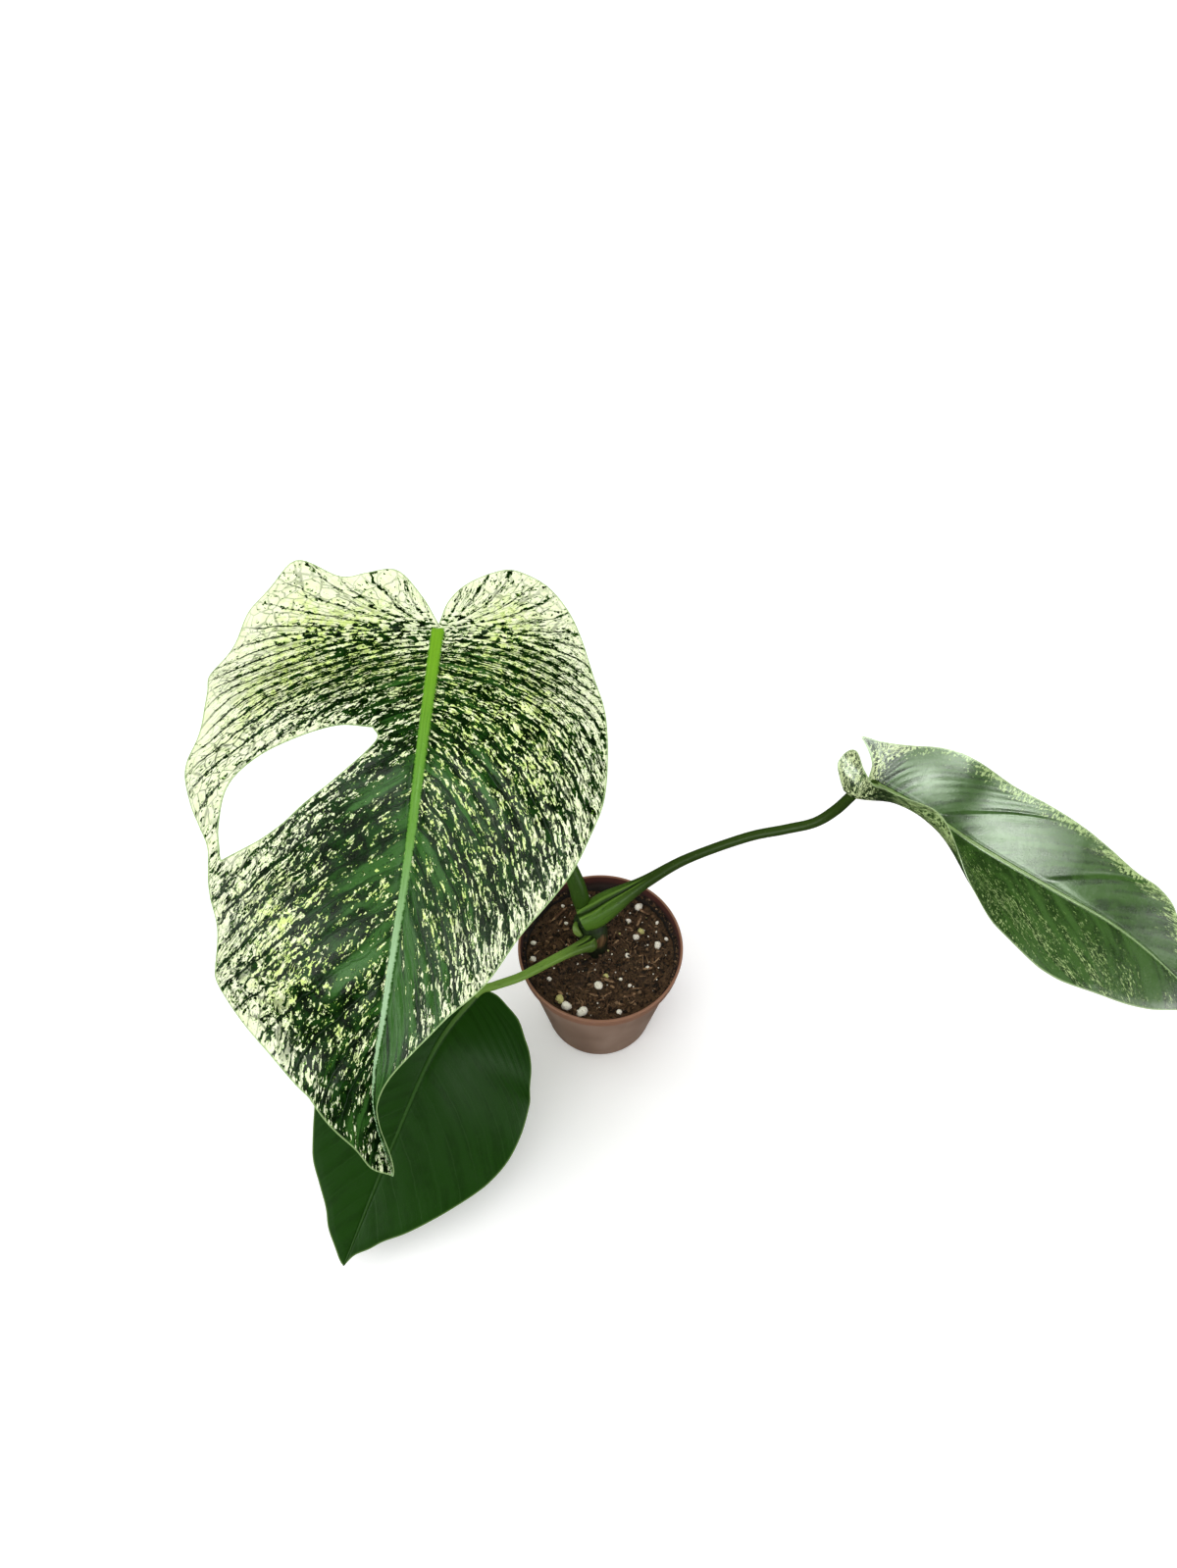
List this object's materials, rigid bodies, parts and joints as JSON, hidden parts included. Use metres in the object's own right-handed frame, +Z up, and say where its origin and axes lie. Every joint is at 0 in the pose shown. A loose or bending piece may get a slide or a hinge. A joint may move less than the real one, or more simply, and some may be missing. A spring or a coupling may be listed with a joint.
{
  "type": "potted house plant",
  "caption": "Young potted devil monster monstera: pale-speckled heart-shaped leaves on long channelled stalks from a short stem, in potting mix in a thin tapered nursery pot.",
  "frame": {"origin": "centre of the pot's flat underside, on the surface it stands on", "axes": "+Z up along the pot's axis, +X towards the leaf that reaches furthest, on its long stalk; the side usually seen is -Y"},
  "size_m": [0.4531, 0.2376, 0.2825],
  "materials": {
    "pot_plastic": "satin reddish-brown moulded plastic, greyer below the collar",
    "potting_mix": "crumbly dark brown mix with white and yellowish grains and bark slivers",
    "stem_skin": "satin dark green with a brown scar",
    "leaf_speckled": "satin, cream and mint speckles over dark green along the lateral veins",
    "leaf_glossy": "glossy grey-green with a pale speckled margin",
    "leaf_plain": "satin dark green"
  },
  "bodies": {
    "root": {"pot": "pot_plastic", "soil": "potting_mix", "stem": "stem_skin", "leaf_large": "leaf_speckled", "leaf_right": "leaf_glossy", "leaf_low": "leaf_plain"}
  },
  "joints": []
}
